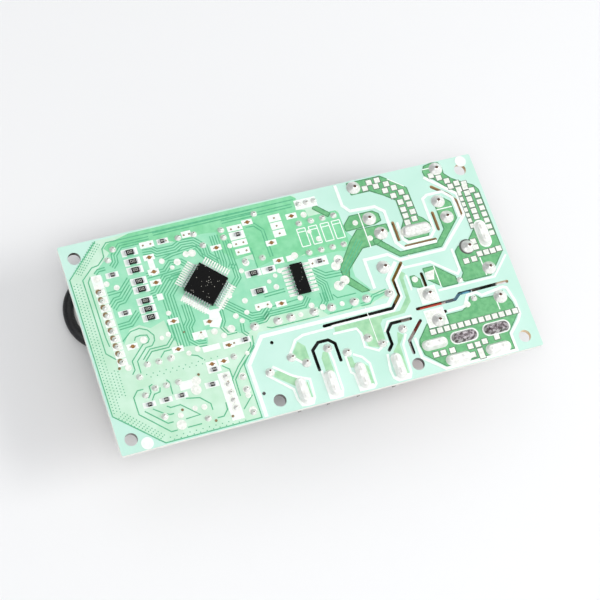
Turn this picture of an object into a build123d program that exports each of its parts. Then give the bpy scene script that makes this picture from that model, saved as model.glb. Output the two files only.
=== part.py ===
from build123d import *
import math
import os

# Relay and power supply board, lying solder side up on its tallest component-side parts.
# Millimetres. X runs along the long edge, Y along the short edge, Z up out of the solder side.
# Places on the board are given from its left and bottom edges, seen from the solder side.

# ---- driving dimensions -------------------------------------------------------------------
board_length = 136.0
board_width = 67.0
board_thickness = 1.6
board_corner = 0.6

tall_height = 25.1          # the relays, the film box and the main can, on which the board lies
seat_gap = 0.4              # stand-off nubs keep each body this far from the laminate
stand_height = tall_height + seat_gap
top = stand_height + board_thickness

mount_hole_radius = 1.95
hole_left = 4.0             # corner holes, from each edge
hole_right = 4.8
hole_bottom = 4.2
hole_top = 4.6
middle_holes = (50.1, 95.1)
slot_width = 1.0            # routed isolation slots
pin_hole_radius = 0.55

lead_radius = 0.4
link_drop = 0.9             # how far the wire links hang below the laminate
joint_height = 1.1          # solder cone over a wire lead
joint_radius = 1.1
joint_sides = 10
power_joint_radius = 2.3
power_joint_height = 1.7
contact_land = (10.2, 4.2, 1.5)     # one long joint for the contact that both main relays share

# Surface-mounted chips
quad_body = 10.0
quad_height = 1.9
quad_span = 13.0
quad_pitch = 0.8
quad_pins_per_side = 11
quad_place = (39.7, 44.6)
driver_length = 9.9
driver_width = 3.9
driver_height = 1.45
driver_span = 6.2
driver_pitch = 1.27
driver_pins_per_side = 8
driver_place = (68.4, 39.4)
foot_length = 0.75
lead_thickness = 0.18
body_standoff = 0.12

# Chip resistors: length, width, height, and the wrapped end terminations
large_chip = (3.1, 1.5, 0.55)
small_chip = (2.0, 1.15, 0.45)
termination = 0.38
large_chips = [(20.6, y) for y in (60.3, 57.2, 54.4, 50.7, 48.0, 44.2, 41.5, 38.8)]
large_chips += [(55.1, 44.7), (55.0, 38.7)]
small_chips = [(13.5, 54.6), (13.7, 42.0), (31.2, 61.5), (54.4, 58.1), (60.5, 44.8), (76.3, 43.6)]
small_chips += [(34.0, 18.4), (32.0, 14.1), (12.3, 12.9), (17.4, 13.1), (22.2, 13.2), (45.9, 25.0)]

# Main relays: two, mirrored about the common contact pad
main_relay_size = (15.6, 23.8)
main_relay_inset = 0.2      # from the board's top edge
main_relay_y = board_width - main_relay_inset - main_relay_size[1] / 2
main_relay_centre = 109.8
main_relay_spread = 8.75
main_relay_base = 3.0

# Channel relays: one per output tab
channel_relay_size = (10.2, 18.6, 15.3)
channel_relay_x = (53.8, 65.5, 78.7, 90.3)
channel_relay_y = 20.6
channel_relay_base = 1.8

case_wall = 0.9
case_fit = 0.1

# Blade terminals for push-on connectors
tab_width = 6.35
tab_thickness = 0.8
tab_length = 10.2
tab_shoulder = 2.2
tab_slot_joint = (8.6, 3.6, 1.5)
upright_tabs = [(57.9, 5.2), (67.3, 5.2), (77.1, 5.2), (89.0, 5.2), (130.4, 39.8)]
level_tabs = [(102.4, 9.0), (112.3, 9.0), (123.2, 9.0)]

# Bus bar standing on edge behind the supply tabs: place, length, height, foot spacing
power_bar = ((114.8, 2.7), 19.5, 4.0, 13.5)
bar_foot_height = 0.6

# Wire-ended parts
can_groove = 0.6
main_can = (16.0, 7.5, (81.5, 38.4))
filter_can = (10.0, 16.0, 5.0, (38.8, 61.4))
timing_can = (6.3, 11.0, 2.5, (49.9, 59.5))
film_width = 11.4
film_gap = 0.5              # the film box stands right below the main relays, the discs below it
film_y = main_relay_y - main_relay_size[1] / 2 - film_gap - film_width / 2
film_box = (31.5, film_width, 28.7, (109.7, film_y))
red_box = (7.4, 13.0, 12.0, 8.7, (106.3, 20.3))
signal_box = (3.0, 7.4, 7.0, 5.8, (12.0, 18.9))
blue_diameter = 12.6
blue_gap = 1.4
black_diameter = 15.0
black_gap = 0.2
film_edge = film_y - film_width / 2
blue_disc = (blue_diameter, 6.4, 7.2, (118.7, film_edge - blue_gap - blue_diameter / 2))
black_disc = (black_diameter, 5.6, 10.0, (128.3, film_edge - black_gap - black_diameter / 2))
rectifier_x = (74.2, 78.2, 82.0, 85.7)
rectifier_y = 52.1
rectifier_pitch = 10.0
rectifier_body = (2.7, 5.2)
resistor_x = (15.4, 18.9, 22.6)
resistor_y = 21.2
resistor_pitch = 7.6
resistor_body = (2.3, 6.3)
regulator_place = (78.7, 63.3)
regulator_pitch = 2.54
regulator_body = (10.0, 4.4, 9.0)
regulator_plate = (1.3, 15.2)
regulator_lead = 3.6
wire_links = [((41.0, 20.8), (41.7, 14.0)), ((41.5, 10.0), (41.3, 2.8)), ((43.0, 57.3), (54.0, 49.2))]
wire_links += [((59.5, 49.0), (61.5, 63.5)), ((13.6, 59.5), (16.0, 62.5)), ((15.5, 8.3), (27.7, 4.5))]

# Headers of the wiring side
header_pitch = 2.5
header_depth = 5.8
header_height = 7.0
header_wall = 0.8
header_margin = 2.45
header_pin = 0.64
header_pin_length = 3.4
header_floor = 2.4
header_fit = 0.15
panel_header = (10, (8.3, 38.6))
switch_header = (5, (36.7, 10.4))

# Wiring lead: plug, moulded boot, sleeve and free plug
plug_height = 9.6
boot_height = 6.2
boot_overhang = 0.4
lead_diameter = 3.4
free_plug = (12.4, 9.0, 5.4)
lead_route = [
    (14.9, 37.0, 12.6), (22.6, 37.0, 12.6), (30.2, 42.6, 11.0), (32.2, 52.2, 8.4), (27.6, 61.2, 5.8),
    (19.0, 65.1, 3.8), (9.3, 65.1, 2.4), (2.3, 58.1, 2.0), (2.3, 48.1, 2.0), (9.3, 41.2, 2.0),
    (19.4, 41.2, 2.0), (31.0, 43.8, 2.0), (43.5, 39.8, 2.0), (55.5, 41.6, 2.0),
]


# ---- helpers ------------------------------------------------------------------------------
def at(x, y, z=0.0):
    """A place on the board, from its left and bottom edges, at height z."""
    return Pos(x - board_length / 2, y - board_width / 2, z)


def slab(length, width, height, radius=0.0):
    """An upright block on z = 0 whose vertical edges are rounded."""
    outline = RectangleRounded(length, width, radius) if radius else Rectangle(length, width)
    return extrude(outline, height)


def write(name, *solids):
    """Writes one node: a single solid, or a group of separate solids."""
    pieces = [piece for part in solids for piece in part.solids()]
    shape = pieces[0] if len(pieces) == 1 else Compound(children=pieces)
    export_step(shape, f"parts/{name}.step")


def wire_lead(x, y, length):
    """A round lead that hangs from the laminate's underside."""
    return at(x, y, stand_height - length) * extrude(Circle(lead_radius), length)


def solder_cone(x, y, radius=joint_radius, height=joint_height):
    """Solder drawn up a lead: a wide foot, a waist and the lead's cut tip."""
    waist = lead_radius + 0.25 * radius
    steps = [(radius, 0), (waist, 0.45 * height), (lead_radius, height)]
    outlines = [Pos(0, 0, z) * RegularPolygon(r, joint_sides) for r, z in steps]
    return at(x, y, top) * loft(outlines, ruled=True)


# ---- laminate -----------------------------------------------------------------------------
corner_holes = [(x, y) for x in (hole_left, board_length - hole_right)
                for y in (hole_bottom, board_width - hole_top)]
line_holes = [(x, hole_bottom) for x in middle_holes]
pin_holes = [(6.9, 25.3), (28.9, 18.0), (53.5, 22.1), (46.1, 7.5), (109.3, 18.2)]

slots = [
    [(70.8, 23.1), (93.5, 23.3), (97.0, 27.0), (96.8, 32.0), (101.2, 36.8)],
    [(64.8, 10.2), (64.8, 16.6), (67.2, 18.6), (70.5, 18.6), (72.2, 17.0), (72.2, 11.5)],
    [(97.8, 18.7), (91.3, 18.7), (89.3, 16.5), (89.3, 12.3), (87.8, 10.7)],
    [(100.6, 17.3), (95.0, 12.0), (95.0, 8.0)],
    [(106.3, 31.8), (106.3, 27.9)],
    [(101.0, 21.1), (113.8, 21.1), (115.8, 22.6), (132.2, 22.7)],
    [(103.3, 50.2), (103.3, 44.3)],
    [(117.0, 50.4), (117.0, 44.7)],
    [(104.8, 41.7), (114.8, 41.7)],
    [(119.8, 58.9), (124.2, 55.3), (126.1, 52.6), (126.1, 47.0)],
]


def routed(points):
    """A slot cut by a round cutter that follows straight runs."""
    cut = Sketch()
    for (x0, y0), (x1, y1) in zip(points, points[1:]):
        run = math.hypot(x1 - x0, y1 - y0)
        angle = math.degrees(math.atan2(y1 - y0, x1 - x0))
        cut += at((x0 + x1) / 2, (y0 + y1) / 2) * Rot(0, 0, angle) * SlotCenterToCenter(run, slot_width)
    return cut


def board():
    outline = RectangleRounded(board_length, board_width, board_corner)
    for x, y in corner_holes + line_holes:
        outline -= at(x, y) * Circle(mount_hole_radius)
    for x, y in pin_holes:
        outline -= at(x, y) * Circle(pin_hole_radius)
    for points in slots:
        outline -= routed(points)
    return Pos(0, 0, stand_height) * extrude(outline, board_thickness)


# ---- surface-mounted parts -----------------------------------------------------------------
def moulded_body(length, width, height):
    """An epoxy package: two halves that taper away from the lead frame, with a pin-one dimple."""
    half = height / 2
    upper = extrude(Rectangle(length, width), half, taper=8)
    lower = mirror(upper, Plane.XY)
    dimple = Pos(-length / 2 + 1.4, -width / 2 + 1.2, half) * Cylinder(0.45, 0.2)
    return Pos(0, 0, half + body_standoff) * (upper + lower - dimple)


def gull_wing(reach, body_reach, height, width):
    """A formed lead: out of the body, down, and a flat foot on its pad."""
    t = lead_thickness
    knee = body_reach + 0.35 * (reach - body_reach)
    foot = reach - foot_length
    profile = Polyline((body_reach, height + t), (body_reach, height), (knee - t, height), (foot, 0),
                       (reach, 0), (reach, t), (foot + t, t), (knee, height + t), close=True)
    return Pos(0, width / 2, 0) * extrude(Plane.XZ * make_face(profile), width)


def quad_chip():
    return at(*quad_place, top) * Rot(0, 0, 45) * moulded_body(quad_body, quad_body, quad_height)


def quad_leads():
    lead = gull_wing(quad_span / 2, quad_body / 2, body_standoff + quad_height / 2 - lead_thickness / 2, 0.35)
    first = -quad_pitch * (quad_pins_per_side - 1) / 2
    frame = at(*quad_place, top) * Rot(0, 0, 45)
    return [frame * Rot(0, 0, 90 * side) * Pos(0, first + pin * quad_pitch, 0) * lead
            for side in range(4) for pin in range(quad_pins_per_side)]


def driver_chip():
    body = moulded_body(driver_width, driver_length, driver_height)
    return at(*driver_place, top) * body


def driver_leads():
    lead = gull_wing(driver_span / 2, driver_width / 2,
                     body_standoff + driver_height / 2 - lead_thickness / 2, 0.42)
    first = -driver_pitch * (driver_pins_per_side - 1) / 2
    frame = at(*driver_place, top)
    return [frame * Rot(0, 0, 180 * side) * Pos(0, first + pin * driver_pitch, 0) * lead
            for side in range(2) for pin in range(driver_pins_per_side)]


def chip_core(x, y, size):
    length, width, height = size
    return at(x, y, top + body_standoff) * slab(length - 2 * termination, width, height)


def chip_ends(x, y, size):
    length, width, height = size
    end = slab(termination, width, height)
    offset = (length - termination) / 2
    return [at(x + side * offset, y, top + body_standoff) * end for side in (-1, 1)]


# ---- relays --------------------------------------------------------------------------------
def relay_case(length, width, height, base):
    """A dust cover: rounded box, open toward the laminate for its base."""
    cover = slab(length, width, height, 1.0)
    cover = chamfer(cover.faces().sort_by(Axis.Z)[0].edges(), 0.5)
    mouth = Pos(0, 0, height - base) * slab(length - 2 * case_wall, width - 2 * case_wall, base)
    return Pos(0, 0, stand_height - seat_gap - height) * (cover - mouth)


def relay_base(length, width, base):
    """The base plate in the cover's mouth, with four nubs that stand on the laminate."""
    inset = case_wall + case_fit
    plate = slab(length - 2 * inset, width - 2 * inset, base - case_fit)
    nub = Cylinder(0.6, seat_gap, align=(Align.CENTER, Align.CENTER, Align.MIN))
    x, y = length / 2 - inset - 1.0, width / 2 - inset - 1.0
    for place in ((x, 0), (-x, 0), (0, y), (0, -y)):
        plate += Pos(*place, base - case_fit) * nub
    return Pos(0, 0, stand_height - seat_gap - base + case_fit) * plate


main_relay_x = [main_relay_centre + side * main_relay_spread for side in (-1, 1)]
# Coil, coil, fixed contact and common contact, as offsets from each relay's centre
main_relay_pins = [
    [(-4.6, -1.6), (-2.6, -7.1), (-6.0, 9.6), (5.6, -8.7)],
    [(1.6, -1.2), (2.6, -6.9), (4.8, 9.6), (-5.6, -8.7)],
]
channel_relay_pins = [(-3.7, 7.7), (3.8, 7.7), (-3.8, -7.3), (4.0, -4.5)]


def relay_pin(x, y):
    """The stub of a relay pin between the base and the laminate."""
    return at(x, y, stand_height - seat_gap) * slab(0.9, 0.9, seat_gap)


def relay_pin_places():
    main = [(x + dx, main_relay_y + dy) for x, pins in zip(main_relay_x, main_relay_pins) for dx, dy in pins]
    channel = [(x + dx, channel_relay_y + dy) for x in channel_relay_x for dx, dy in channel_relay_pins]
    return main, channel


# ---- blade terminals -----------------------------------------------------------------------
def blade():
    """A push-on blade along Y: shoulders on the laminate, a chamfered tip and a locking dimple hole."""
    tip = 1.1
    half = tab_width / 2
    points = [(-half + 0.4, 0), (half - 0.4, 0), (half - 0.4, -tab_shoulder), (half, -tab_shoulder)]
    points += [(half, tip - tab_length), (half - tip, -tab_length), (tip - half, -tab_length)]
    points += [(-half, tip - tab_length), (-half, -tab_shoulder), (0.4 - half, -tab_shoulder)]
    face = make_face(Polyline(*points, close=True)) - Pos(0, -tab_length + 3.4) * Circle(0.8)
    return Pos(-tab_thickness / 2, 0, 0) * extrude(Plane.YZ * face, tab_thickness)


def contact_joint():
    """The long joint between the main relays, over the pin of each that goes to the shared contact."""
    length, width, height = contact_land
    x, y = main_relay_centre, main_relay_y + main_relay_pins[0][-1][1]
    return at(x, y, top) * extrude(SlotOverall(length, width), height, taper=28)


def tab_joint(x, y, angle):
    """The long solder mound over a blade's two feet, with the feet's cut ends standing proud."""
    length, width, height = tab_slot_joint
    mound = extrude(SlotOverall(length, width), height, taper=28)
    feet = [Pos(side * 1.9, 0, height) * Box(1.5, tab_thickness, 1.0) for side in (-1, 1)]
    return at(x, y, top) * Rot(0, 0, angle) * (mound + feet[0] + feet[1])


def bus_bar():
    """A tinned bar on edge along X, on two wide feet."""
    place, length, height, spacing = power_bar
    bar = Pos(0, -bar_foot_height - (height - bar_foot_height) / 2) * Rectangle(length, height - bar_foot_height)
    for side in (-1, 1):
        bar += Pos(side * spacing / 2, -bar_foot_height / 2) * Rectangle(tab_width - 0.8, bar_foot_height)
    solid = Pos(0, tab_thickness / 2, 0) * extrude(Plane.XZ * bar, tab_thickness)
    return at(*place, stand_height) * solid


# ---- wire-ended parts ----------------------------------------------------------------------
def can(diameter, height):
    """A sleeved can hanging from the laminate: crimp groove near the leads, rounded far end."""
    r = diameter / 2
    shoulder = 0.08 * diameter
    outline = Polyline((0, 0), (r - 0.5, 0), (r, -0.5), (r, -1.6), (r - can_groove, -2.2),
                       (r - can_groove, -2.6), (r, -3.2), (r, shoulder - height),
                       (r - shoulder, -height), (r - 2 * shoulder, -height),
                       (r - 2 * shoulder - 0.3, 0.35 - height), (0, 0.35 - height), close=True)
    return Pos(0, 0, stand_height - seat_gap) * revolve(Plane.XZ * make_face(outline), Axis.Z)


def moulded_box(length, width, height, corner):
    """A box part hanging from the laminate, its far end rounded."""
    body = slab(length, width, height, corner)
    body = fillet(body.faces().sort_by(Axis.Z)[0].edges(), 0.6 * corner)
    return Pos(0, 0, stand_height - seat_gap - height) * body


def dipped_disc(diameter, thickness):
    """An epoxy-dipped disc on edge in the YZ plane: a lens with a blunt rim."""
    r, t = diameter / 2, thickness / 2
    half = Polyline((0, -t), (0.55 * r, -t), (r, -0.3 * t), (r, 0.3 * t), (0.55 * r, t), (0, t), close=True)
    lens = revolve(Plane.XZ * make_face(half), Axis.Z)
    return Pos(0, 0, stand_height - seat_gap - r) * Rot(0, 90, 0) * lens


def disc_lead_length(diameter, pitch):
    """How far down a lead goes before its inner side meets the disc's rim."""
    r = diameter / 2
    reach = pitch / 2 - lead_radius
    return seat_gap + r - math.sqrt(r * r - reach * reach)


def axial_body(x, y, size):
    """A cylinder lying along Y against the laminate."""
    diameter, length = size
    z = stand_height - seat_gap - diameter / 2
    return at(x, y, z) * Rot(90, 0, 0) * Cylinder(diameter / 2, length)


def axial_leads(x, y, size, pitch):
    """Two leads: straight out of the ends, then bent up to the laminate."""
    diameter, length = size
    z = stand_height - seat_gap - diameter / 2
    leads = []
    for side in (-1, 1):
        path = Polyline((0, side * length / 2, z), (0, side * pitch / 2, z), (0, side * pitch / 2, stand_height))
        section = Plane((0, side * length / 2, z), z_dir=(0, side, 0)) * Circle(lead_radius * 0.8)
        leads.append(at(x, y) * sweep(section, path, transition=Transition.RIGHT))
    return leads


def wire_link(start, end):
    """A tinned wire bridge on the component side, bent down at both ends."""
    (x0, y0), (x1, y1) = start, end
    run = math.hypot(x1 - x0, y1 - y0)
    path = Polyline((0, 0, 0), (0, 0, -link_drop), (run, 0, -link_drop), (run, 0, 0))
    wire = sweep(Circle(lead_radius * 0.8), path, transition=Transition.RIGHT)
    return at(x0, y0, stand_height) * Rot(0, 0, math.degrees(math.atan2(y1 - y0, x1 - x0))) * wire


def pair(centre, pitch, angle=90.0):
    """The two lead places of a part, pitch apart, along the given direction."""
    dx = pitch / 2 * math.cos(math.radians(angle))
    dy = pitch / 2 * math.sin(math.radians(angle))
    return [(centre[0] - dx, centre[1] - dy), (centre[0] + dx, centre[1] + dy)]


def regulator():
    """A three-lead regulator standing on end: moulded body, and its leads."""
    length, width, height = regulator_body
    z = stand_height - regulator_lead - height
    return at(*regulator_place, z) * slab(length, width - regulator_plate[0], height)


def regulator_tab():
    """Its tinned plate with the screw hole at the far end."""
    thickness, reach = regulator_plate
    length, width, _ = regulator_body
    plate = Rectangle(length, reach) - Pos(0, -reach / 2 + 3.0) * Circle(1.8)
    z = stand_height - regulator_lead - reach / 2
    y = regulator_place[1] + (width - thickness) / 2
    return at(regulator_place[0], y, z) * extrude(Plane.XZ.offset(-thickness) * plate, thickness)


# ---- headers -------------------------------------------------------------------------------
def header_length(pins):
    return (pins - 1) * header_pitch + 2 * header_margin


def header(pins, centre):
    """A shrouded header along Y, open at the far end, with its latch window."""
    length = header_length(pins)
    shroud = slab(header_depth, length, header_height)
    pocket = slab(header_depth - 2 * header_wall, length - 2 * header_wall, header_height - header_floor)
    window = Pos(header_depth / 2, 0, 0) * slab(2 * header_wall, length - 5.0, 2.6)
    return at(*centre, stand_height - header_height) * (shroud - pocket - window)


def header_places(pins, centre):
    return [(centre[0], centre[1] + (n - (pins - 1) / 2) * header_pitch) for n in range(pins)]


def header_pins(pins, centre):
    blade_pin = slab(header_pin, header_pin, header_pin_length)
    return [at(x, y, stand_height - header_floor - header_pin_length) * blade_pin
            for x, y in header_places(pins, centre)]


# ---- wiring lead ---------------------------------------------------------------------------
def mated_plug():
    """The plug in the ten-way header: a body in the shroud with a cavity for each pin, and a flange."""
    pins, centre = panel_header
    fit = header_wall + header_fit
    length = header_length(pins)
    body = slab(header_depth - 2 * fit, length - 2 * fit, plug_height - header_floor - header_fit)
    flange = slab(header_depth - 0.2, length - 1.0, plug_height - header_height - header_fit)
    plug = at(*centre, stand_height - plug_height) * (body + flange)
    cavity = slab(header_pin + 2 * header_fit, header_pin + 2 * header_fit, header_pin_length + header_fit)
    for x, y in header_places(pins, centre):
        plug -= at(x, y, stand_height - header_floor - header_pin_length - header_fit) * cavity
    return plug


def boot():
    """A moulded boot under the plug that turns the lead out to the side through a tapered neck."""
    pins, centre = panel_header
    length = header_length(pins) - 1.0 + 2 * boot_overhang
    width = header_depth - 0.2 + 2 * boot_overhang
    block = slab(width, length, boot_height, 1.2)
    block = fillet(block.faces().sort_by(Axis.Z)[0].edges(), 0.8)
    bottom = stand_height - plug_height - boot_height
    block = at(*centre, bottom) * block
    exit_x, exit_y, exit_z = lead_route[0]
    neck_x = centre[0] + width / 2
    neck = extrude(Circle(lead_diameter / 2 + 0.7), exit_x - neck_x, taper=7)
    neck = at(neck_x, exit_y, exit_z) * Rot(0, 90, 0) * neck
    return block + neck


def lead_points():
    return [(x - board_length / 2, y - board_width / 2, z) for x, y, z in lead_route]


def lead_radii(points):
    """Each bend is as large as its two runs allow."""
    radii = []
    for a, b, c in zip(points, points[1:], points[2:]):
        first, second = Vector(*b) - Vector(*a), Vector(*c) - Vector(*b)
        turn = math.radians(first.get_angle(second))
        radii.append(0.45 * min(first.length, second.length) / math.tan(turn / 2))
    return radii


def lead_sleeve():
    points = lead_points()
    radii = lead_radii(points)
    print("lead bend radii:", [round(r, 1) for r in radii])
    path = FilletPolyline(*points, radius=radii)
    start = Vector(*points[1]) - Vector(*points[0])
    section = Plane(points[0], z_dir=start) * Circle(lead_diameter / 2)
    tube = sweep(section, path)
    print("lead length:", round(path.length, 1), "volume ratio:",
          round(tube.volume / (math.pi * lead_diameter ** 2 / 4 * path.length), 4))
    return tube


def end_plug():
    """The free plug on the lead's far end, lying flat."""
    length, width, height = free_plug
    (x0, y0, _), (x1, y1, _) = lead_route[-2:]
    angle = math.degrees(math.atan2(y1 - y0, x1 - x0))
    body = Pos(length / 2, 0, 0) * slab(length, width, height, 0.6)
    ribs = Pos(length * 0.72, 0, height) * Box(length * 0.4, width * 0.5, 0.8)
    return at(x1, y1) * Rot(0, 0, angle) * (body + ribs)


# ---- assembly ------------------------------------------------------------------------------
os.makedirs("parts", exist_ok=True)

write("board", board())
write("microcontroller_body", quad_chip())
write("microcontroller_leads", *quad_leads())
write("driver_chip_body", driver_chip())
write("driver_chip_leads", *driver_leads())

chips = [(x, y, large_chip) for x, y in large_chips] + [(x, y, small_chip) for x, y in small_chips]
write("chip_resistor_bodies", *[chip_core(*chip) for chip in chips])
write("chip_resistor_ends", *[end for chip in chips for end in chip_ends(*chip)])

for number, x in enumerate(main_relay_x, 1):
    place = at(x, main_relay_y)
    write(f"main_relay_case_{number}", place * relay_case(*main_relay_size, tall_height, main_relay_base))
    write(f"main_relay_base_{number}", place * relay_base(*main_relay_size, main_relay_base))
for number, x in enumerate(channel_relay_x, 1):
    place = at(x, channel_relay_y)
    length, width, height = channel_relay_size
    write(f"channel_relay_case_{number}", place * relay_case(length, width, height, channel_relay_base))
    write(f"channel_relay_base_{number}", place * relay_base(length, width, channel_relay_base))
main_pins, channel_pins = relay_pin_places()
write("relay_pins", *[relay_pin(x, y) for x, y in main_pins + channel_pins])

tabs = [(x, y, 0) for x, y in upright_tabs] + [(x, y, 90) for x, y in level_tabs]
for number, (x, y, angle) in enumerate(tabs, 1):
    write(f"tab_terminal_{number}", at(x, y, stand_height) * Rot(0, 0, angle) * blade())
write("power_bar", bus_bar())
(bar_x, bar_y), _, _, bar_spacing = power_bar
bar_feet = [(bar_x + side * bar_spacing / 2, bar_y, 90) for side in (-1, 1)]
write("tab_joints", *[tab_joint(x, y, angle + 90) for x, y, angle in tabs + bar_feet])

main_diameter, main_pitch, main_place = main_can
write("main_capacitor", at(*main_place) * can(main_diameter, tall_height))
filter_diameter, filter_height, filter_pitch, filter_place = filter_can
write("filter_capacitor", at(*filter_place) * can(filter_diameter, filter_height))
timing_diameter, timing_height, timing_pitch, timing_place = timing_can
write("timing_capacitor", at(*timing_place) * can(timing_diameter, timing_height))

film_length, _, film_pitch, film_place = film_box
write("film_capacitor", at(*film_place) * moulded_box(film_length, film_width, tall_height, 1.0))
red_width, red_length, red_height, red_pitch, red_place = red_box
write("snubber_capacitor", at(*red_place) * moulded_box(red_width, red_length, red_height, 2.0))
signal_width, signal_length, signal_height, signal_pitch, signal_place = signal_box
write("signal_capacitor", at(*signal_place) * moulded_box(signal_width, signal_length, signal_height, 0.6))

_, blue_thickness, blue_pitch, blue_place = blue_disc
write("varistor", at(*blue_place) * Rot(0, 0, 18) * dipped_disc(blue_diameter, blue_thickness))
_, black_thickness, black_pitch, black_place = black_disc
write("thermistor", at(*black_place) * dipped_disc(black_diameter, black_thickness))

for number, x in enumerate(rectifier_x, 1):
    write(f"rectifier_{number}", axial_body(x, rectifier_y, rectifier_body))
write("axial_resistors", *[axial_body(x, resistor_y, resistor_body) for x in resistor_x])
write("regulator_body", regulator())
write("regulator_tab", regulator_tab())

body_leads = pair(main_place, main_pitch, 80) + pair(filter_place, filter_pitch, 0)
body_leads += pair(timing_place, timing_pitch) + pair(signal_place, signal_pitch)
film_leads = pair(film_place, film_pitch, 0) + pair(red_place, red_pitch)
blue_leads = pair(blue_place, blue_pitch, 108)
black_leads = pair(black_place, black_pitch)
regulator_leads = [(regulator_place[0] + n * regulator_pitch, regulator_place[1]) for n in (-1, 0, 1)]
leads = [wire_lead(x, y, seat_gap) for x, y in body_leads + film_leads]
leads += [wire_lead(x, y, disc_lead_length(blue_diameter, blue_pitch)) for x, y in blue_leads]
leads += [wire_lead(x, y, disc_lead_length(black_diameter, black_pitch)) for x, y in black_leads]
leads += [wire_lead(x, y, regulator_lead) for x, y in regulator_leads]
for x in rectifier_x:
    leads += axial_leads(x, rectifier_y, rectifier_body, rectifier_pitch)
for x in resistor_x:
    leads += axial_leads(x, resistor_y, resistor_body, resistor_pitch)
write("component_leads", *leads)
write("wire_links", *[wire_link(*ends) for ends in wire_links])

for name, (pins, centre) in (("panel_header", panel_header), ("switch_header", switch_header)):
    write(name, header(pins, centre))
write("header_pins", *header_pins(*panel_header), *header_pins(*switch_header))
write("panel_plug", mated_plug())
write("lead_boot", boot())
write("lead_sleeve", lead_sleeve())
write("lead_end_plug", end_plug())

axial_places = [place for x in rectifier_x for place in pair((x, rectifier_y), rectifier_pitch)]
axial_places += [place for x in resistor_x for place in pair((x, resistor_y), resistor_pitch)]
header_joints = header_places(*panel_header) + header_places(*switch_header)
link_places = [place for ends in wire_links for place in ends]
write("lead_joints", *[solder_cone(x, y) for x, y in
                       body_leads + blue_leads + regulator_leads + axial_places + link_places])
write("header_joints", *[solder_cone(x, y, 0.95, 0.9) for x, y in header_joints])
single_pins = [pin for n, pin in enumerate(main_pins) if (n + 1) % len(main_relay_pins[0])]
write("power_joints", contact_joint(),
      *[solder_cone(x, y, power_joint_radius, power_joint_height)
        for x, y in single_pins + film_leads + black_leads],
      *[solder_cone(x, y, 1.5, 1.3) for x, y in channel_pins])
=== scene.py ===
import math
import random
import bmesh
import bpy
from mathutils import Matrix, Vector


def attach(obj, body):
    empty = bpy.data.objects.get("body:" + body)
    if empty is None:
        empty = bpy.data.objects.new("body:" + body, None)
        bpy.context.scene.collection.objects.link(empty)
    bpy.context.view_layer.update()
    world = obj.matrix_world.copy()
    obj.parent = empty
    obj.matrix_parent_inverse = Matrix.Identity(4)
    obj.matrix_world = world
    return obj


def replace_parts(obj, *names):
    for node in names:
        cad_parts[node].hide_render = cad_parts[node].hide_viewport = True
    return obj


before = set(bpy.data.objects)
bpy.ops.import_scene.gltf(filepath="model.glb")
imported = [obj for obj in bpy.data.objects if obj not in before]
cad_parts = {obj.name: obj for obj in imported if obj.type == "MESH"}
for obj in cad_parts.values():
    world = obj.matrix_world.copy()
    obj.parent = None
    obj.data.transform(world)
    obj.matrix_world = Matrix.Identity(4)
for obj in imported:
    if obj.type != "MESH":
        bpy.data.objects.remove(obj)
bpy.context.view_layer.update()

# ---- Camera, floor and studio light ---------------------------------------------------------
# A long lens looks down on the solder side from over the left front corner, with the long
# edge of the board turned across the frame. The floor is a plain pale sheet.
camera_data = bpy.data.cameras.new("camera")
camera_data.lens = 112.94
camera_data.sensor_width = 36.0
camera = bpy.data.objects.new("camera", camera_data)
camera.location = (-0.17148, -0.16946, 0.54317)
camera.rotation_euler = [math.radians(a) for a in (22.194, -11.58, -18.947)]
bpy.context.scene.collection.objects.link(camera)
bpy.context.scene.camera = camera
bpy.context.scene.view_settings.view_transform = "Standard"

world = bpy.data.worlds.new("studio")
world.use_nodes = True
bpy.context.scene.world = world
sky = world.node_tree
sky.nodes.clear()


def backdrop(colour, strength):
    """One even tone of the studio walls."""
    made = sky.nodes.new("ShaderNodeBackground")
    made.inputs[0].default_value = colour
    made.inputs[1].default_value = strength
    return made


def blend(chosen, first, second):
    """The second tone where the chosen value is one."""
    made = sky.nodes.new("ShaderNodeMixShader")
    sky.links.new(chosen, made.inputs[0])
    sky.links.new(first.outputs[0], made.inputs[1])
    sky.links.new(second.outputs[0], made.inputs[2])
    return made


path = sky.nodes.new("ShaderNodeLightPath")
direction = sky.nodes.new("ShaderNodeTexCoord")
toward_lamp = sky.nodes.new("ShaderNodeVectorMath")
toward_lamp.operation = "DOT_PRODUCT"
toward_lamp.inputs[1].default_value = (0.62, -0.72, 0.31)
sky.links.new(direction.outputs["Generated"], toward_lamp.inputs[0])
card_edge = sky.nodes.new("ShaderNodeMapRange")
card_edge.inputs["From Min"].default_value = -0.25
card_edge.inputs["From Max"].default_value = 0.15
sky.links.new(toward_lamp.outputs["Value"], card_edge.inputs["Value"])
walls = backdrop((0.95, 0.965, 1.0, 1.0), 0.60)
dark_card = backdrop((0.9, 0.92, 0.95, 1.0), 0.08)
white_wall = backdrop((1.0, 1.0, 1.0, 1.0), 1.0)
white_sheet = backdrop((0.93, 0.93, 0.935, 1.0), 0.98)
mirrored = blend(card_edge.outputs[0], dark_card, white_wall)
unseen = blend(path.outputs["Is Glossy Ray"], walls, mirrored)
seen = blend(path.outputs["Is Camera Ray"], unseen, white_sheet)
sky_out = sky.nodes.new("ShaderNodeOutputWorld")
sky.links.new(seen.outputs[0], sky_out.inputs[0])

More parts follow.
